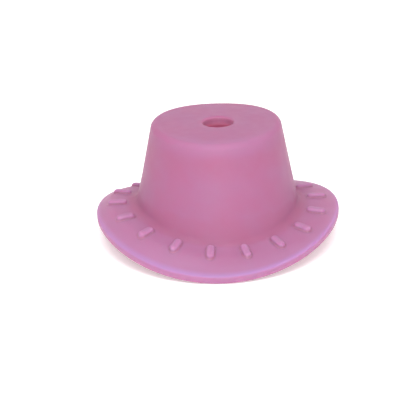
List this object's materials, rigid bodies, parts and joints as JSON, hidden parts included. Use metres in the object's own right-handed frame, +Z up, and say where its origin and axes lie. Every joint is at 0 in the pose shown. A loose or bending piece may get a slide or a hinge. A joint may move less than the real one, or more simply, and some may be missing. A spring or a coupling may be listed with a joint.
{
  "type": "silicone cupping cup",
  "caption": "Soft silicone cupping cup shaped like a top hat: a tapered hollow crown with a hole in its closed top, on a wide bent brim with raised massage nubs.",
  "frame": {"origin": "on the crown's axis, at the level of the surface that the front and back of the rim rest on", "axes": "+Z up through the crown's hole; X along the straight lines of the bent brim, whose raised edges are at -X and +X; -Y is the front in the picture"},
  "size_m": [0.07, 0.07, 0.0346],
  "materials": {
    "silicone": "matte, slightly translucent pink silicone"
  },
  "bodies": {
    "cup": {"crown_base": "silicone", "flex_wall": "silicone", "brim": "silicone", "massage_nub_01": "silicone", "massage_nub_02": "silicone", "massage_nub_03": "silicone", "massage_nub_04": "silicone", "massage_nub_05": "silicone", "massage_nub_06": "silicone", "massage_nub_07": "silicone", "massage_nub_08": "silicone", "massage_nub_09": "silicone", "massage_nub_10": "silicone", "massage_nub_11": "silicone", "massage_nub_12": "silicone", "massage_nub_13": "silicone", "massage_nub_14": "silicone", "massage_nub_15": "silicone", "massage_nub_16": "silicone", "massage_nub_17": "silicone", "massage_nub_18": "silicone"},
    "cap": {"crown_cap": "silicone"}
  },
  "joints": [
    {"name": "crown_press", "type": "slide", "parent": "cup", "child": "cap", "axis": [0, 0, -1], "range_m": [0, 0.005], "stiffness_N_per_m": 600, "deforming": ["flex_wall"]}
  ]
}
